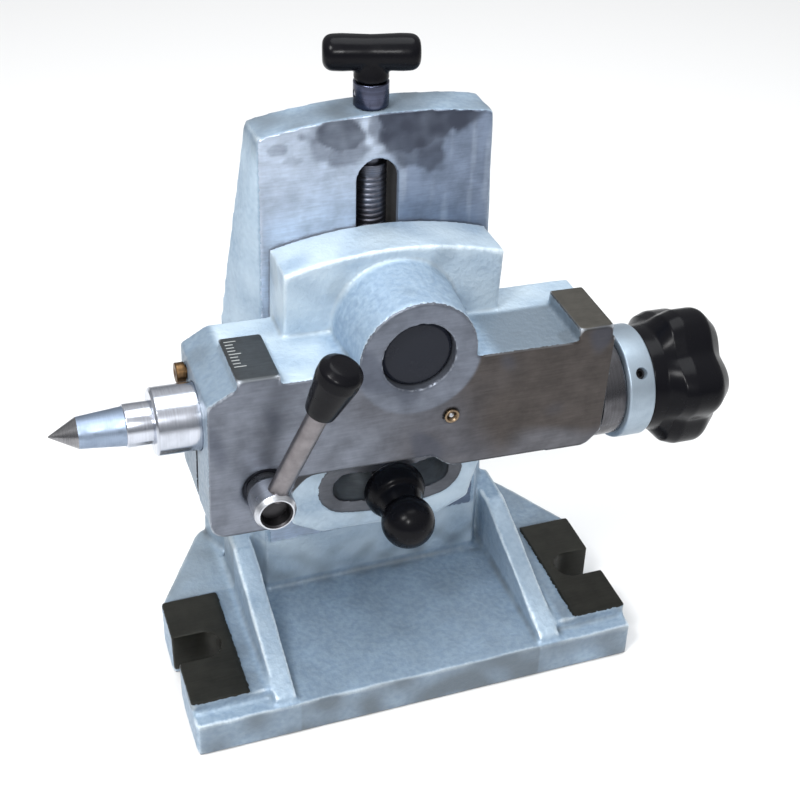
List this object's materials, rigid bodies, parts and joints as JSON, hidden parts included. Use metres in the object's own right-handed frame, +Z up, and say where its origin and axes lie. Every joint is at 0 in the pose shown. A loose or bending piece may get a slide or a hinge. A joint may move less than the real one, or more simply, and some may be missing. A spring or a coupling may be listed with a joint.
{
  "type": "adjustable tailstock",
  "caption": "Height- and tilt-adjustable tailstock for a rotary table: column base, swivelling head, screw-fed quill with dead centre, star knob and clamping levers.",
  "frame": {"origin": "underside of the base, in line with the two bolt slots and under the middle of the column", "axes": "+X along the quill towards the star knob, +Y from the operator to the column's back, +Z up"},
  "size_m": [0.31, 0.1505, 0.3026],
  "materials": {
    "casting_paint": "light blue-grey hammered paint over cast iron, machined faces bare",
    "turned_steel": "turned steel, lightly oiled",
    "polished_steel": "ground and polished steel",
    "satin_ring": "satin silver",
    "dark_steel": "black oxide",
    "black_knob": "glossy black phenolic",
    "brass": "dull brass"
  },
  "bodies": {
    "base": {"base_casting": "casting_paint"},
    "elevating": {"elevating_screw": "turned_steel", "screw_sleeve": "dark_steel", "sleeve_pin": "turned_steel", "elevating_t_handle": "black_knob"},
    "carriage": {"pivot_stud": "turned_steel", "pivot_front_washer": "turned_steel", "pivot_lock_nut": "dark_steel", "pivot_rear_washer": "dark_steel", "pivot_rear_nut": "dark_steel", "tilt_clamp_bolt": "dark_steel", "tilt_clamp_washer": "turned_steel"},
    "tilt_clamp": {"tilt_clamp_hub": "black_knob", "tilt_clamp_ball": "black_knob"},
    "head": {"head_casting": "casting_paint", "pivot_cap": "black_knob", "ball_oiler": "brass", "oiler_ball": "polished_steel", "end_oiler": "brass", "feed_bush": "turned_steel", "quill_clamp_washer": "turned_steel", "quill_clamp_nut": "dark_steel"},
    "quill": {"quill": "polished_steel", "dead_centre": "polished_steel"},
    "feed": {"feed_screw": "turned_steel", "end_ring": "satin_ring", "ring_set_screw": "dark_steel", "knob_insert": "turned_steel", "star_knob": "black_knob"},
    "quill_clamp": {"quill_clamp_stud": "turned_steel", "quill_clamp_hub": "polished_steel", "quill_clamp_rod": "turned_steel", "quill_clamp_grip": "black_knob"}
  },
  "joints": [
    {"name": "elevating_turn", "type": "hinge", "parent": "base", "child": "elevating", "pos_m": [0, 0.0455, 0.2], "axis": [0, 0, 1], "range_deg": [-4400, 3700]},
    {"name": "height_slide", "type": "slide", "parent": "base", "child": "carriage", "axis": [0, 0, 1], "range_m": [-0.025, 0.03]},
    {"name": "head_tilt", "type": "hinge", "parent": "carriage", "child": "head", "pos_m": [0, 0, 0.1873], "axis": [0, 1, 0], "range_deg": [-12, 12]},
    {"name": "tilt_clamp_turn", "type": "hinge", "parent": "carriage", "child": "tilt_clamp", "pos_m": [0, 0, 0.095], "axis": [0, 1, 0], "range_deg": [-60, 30]},
    {"name": "quill_slide", "type": "slide", "parent": "head", "child": "quill", "axis": [-0.9994, 0, 0.0349], "range_m": [-0.015, 0.025]},
    {"name": "feed_turn", "type": "hinge", "parent": "head", "child": "feed", "pos_m": [-0.00158, 0, 0.14193], "axis": [0.9994, 0, -0.0349], "range_deg": [-4600, 2800]},
    {"name": "quill_clamp_turn", "type": "hinge", "parent": "head", "child": "quill_clamp", "pos_m": [-0.06832, 0, 0.13335], "axis": [0, 1, 0], "range_deg": [-40, 60]}
  ],
  "couplings": [
    {"joint": "elevating_turn", "follows": "height_slide", "rad_per_m": -2513.3},
    {"joint": "feed_turn", "follows": "quill_slide", "rad_per_m": -3141.6}
  ]
}
